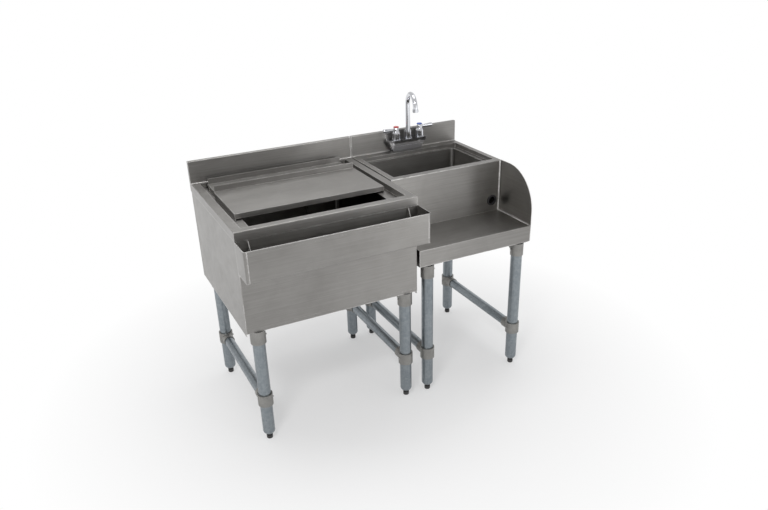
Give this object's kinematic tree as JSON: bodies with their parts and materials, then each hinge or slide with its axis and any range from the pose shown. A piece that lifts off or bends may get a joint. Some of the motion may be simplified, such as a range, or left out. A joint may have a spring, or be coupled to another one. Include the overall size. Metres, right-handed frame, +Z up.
{
  "type": "bar sink with ice bin",
  "caption": "Underbar station: insulated ice bin with sliding covers and a bottle rail, beside a dump sink with shelf, end splash and gooseneck faucet, on tube legs.",
  "frame": {"origin": "centre of the outer box's footprint, on the floor", "axes": "+X to the right along the bar, +Y back to the wall, +Z up"},
  "size_m": [1.072, 0.6384, 0.995],
  "materials": {
    "stainless": "satin",
    "galvanised": "satin",
    "cast_fittings": "satin",
    "hardware": "satin",
    "drain_steel": "polished",
    "chrome": "polished",
    "foot_plastic": "matte",
    "foam": "matte",
    "grommet_rubber": "matte",
    "index_red": "gloss",
    "index_blue": "gloss"
  },
  "bodies": {
    "station": {"bin_cabinet": "stainless", "bin_insulation": "foam", "bin_liner": "stainless", "bin_top": "stainless", "bin_backsplash": "stainless", "bin_divider_channels": "hardware", "bin_drain_body": "hardware", "bin_drain_nut": "hardware", "bin_drain_strainer": "drain_steel", "bottle_rail": "stainless", "bottle_rail_floor": "stainless", "bottle_rail_ends": "stainless", "hex_bolts": "hardware", "bin_leg_front_left": "galvanised", "bin_leg_front_right": "galvanised", "bin_leg_rear_left": "galvanised", "bin_leg_rear_right": "galvanised", "sink_top": "stainless", "sink_backsplash": "stainless", "sink_riser": "stainless", "sink_bowl": "stainless", "sink_shelf": "stainless", "sink_end_splash": "stainless", "sink_side_left": "stainless", "sink_side_right": "stainless", "cord_grommet": "grommet_rubber", "basket_strainer_body": "drain_steel", "basket_strainer_nuts": "hardware", "sink_tailpiece": "drain_steel", "sink_leg_front_left": "galvanised", "sink_leg_front_right": "galvanised", "sink_leg_rear_left": "galvanised", "sink_leg_rear_right": "galvanised", "leg_channels": "cast_fittings", "leg_sockets": "cast_fittings", "cross_rails": "galvanised", "rail_clamps": "cast_fittings", "set_screws": "hardware", "faucet_body": "chrome", "faucet_wall_nuts": "hardware", "faucet_bonnets": "chrome", "spout_nut": "chrome"},
    "front_cover": {"bin_cover_front": "stainless"},
    "rear_cover": {"bin_cover_rear": "stainless"},
    "divider": {"bin_divider": "stainless"},
    "hot_lever": {"hot_handle": "chrome", "hot_index": "index_red"},
    "cold_lever": {"cold_handle": "chrome", "cold_index": "index_blue"},
    "gooseneck": {"spout": "chrome", "aerator": "chrome"},
    "basket": {"strainer_basket": "drain_steel"},
    "bin_foot_front_left": {"bin_foot_front_left": "foot_plastic"},
    "bin_foot_front_right": {"bin_foot_front_right": "foot_plastic"},
    "bin_foot_rear_left": {"bin_foot_rear_left": "foot_plastic"},
    "bin_foot_rear_right": {"bin_foot_rear_right": "foot_plastic"},
    "sink_foot_front_left": {"sink_foot_front_left": "foot_plastic"},
    "sink_foot_front_right": {"sink_foot_front_right": "foot_plastic"},
    "sink_foot_rear_left": {"sink_foot_rear_left": "foot_plastic"},
    "sink_foot_rear_right": {"sink_foot_rear_right": "foot_plastic"}
  },
  "joints": [
    {"name": "front_cover_slide", "type": "slide", "parent": "station", "child": "front_cover", "axis": [0, -1, 0], "range_m": [-0.1, 0.1]},
    {"name": "rear_cover_slide", "type": "slide", "parent": "station", "child": "rear_cover", "axis": [0, -1, 0], "range_m": [0, 0.1]},
    {"name": "divider_lift", "type": "slide", "parent": "station", "child": "divider", "axis": [0, 0, 1], "range_m": [0, 0.012]},
    {"name": "hot_lever_turn", "type": "hinge", "parent": "station", "child": "hot_lever", "pos_m": [0.2567, 0.25725, 0.84], "axis": [0, 0, 1], "range_deg": [0, 90]},
    {"name": "cold_lever_turn", "type": "hinge", "parent": "station", "child": "cold_lever", "pos_m": [0.3583, 0.25725, 0.84], "axis": [0, 0, 1], "range_deg": [-90, 0]},
    {"name": "gooseneck_swing", "type": "hinge", "parent": "station", "child": "gooseneck", "pos_m": [0.3075, 0.25725, 0.83], "axis": [0, 0, 1], "range_deg": [-80, 100]},
    {"name": "basket_lift", "type": "slide", "parent": "station", "child": "basket", "axis": [0, 0, 1], "range_m": [0, 0.15]},
    {"name": "bin_foot_front_left_screw", "type": "slide", "parent": "station", "child": "bin_foot_front_left", "axis": [0, 0, -1], "range_m": [-0.006, 0.019]},
    {"name": "bin_foot_front_right_screw", "type": "slide", "parent": "station", "child": "bin_foot_front_right", "axis": [0, 0, -1], "range_m": [-0.006, 0.019]},
    {"name": "bin_foot_rear_left_screw", "type": "slide", "parent": "station", "child": "bin_foot_rear_left", "axis": [0, 0, -1], "range_m": [-0.006, 0.019]},
    {"name": "bin_foot_rear_right_screw", "type": "slide", "parent": "station", "child": "bin_foot_rear_right", "axis": [0, 0, -1], "range_m": [-0.006, 0.019]},
    {"name": "sink_foot_front_left_screw", "type": "slide", "parent": "station", "child": "sink_foot_front_left", "axis": [0, 0, -1], "range_m": [-0.006, 0.019]},
    {"name": "sink_foot_front_right_screw", "type": "slide", "parent": "station", "child": "sink_foot_front_right", "axis": [0, 0, -1], "range_m": [-0.006, 0.019]},
    {"name": "sink_foot_rear_left_screw", "type": "slide", "parent": "station", "child": "sink_foot_rear_left", "axis": [0, 0, -1], "range_m": [-0.006, 0.019]},
    {"name": "sink_foot_rear_right_screw", "type": "slide", "parent": "station", "child": "sink_foot_rear_right", "axis": [0, 0, -1], "range_m": [-0.006, 0.019]}
  ]
}
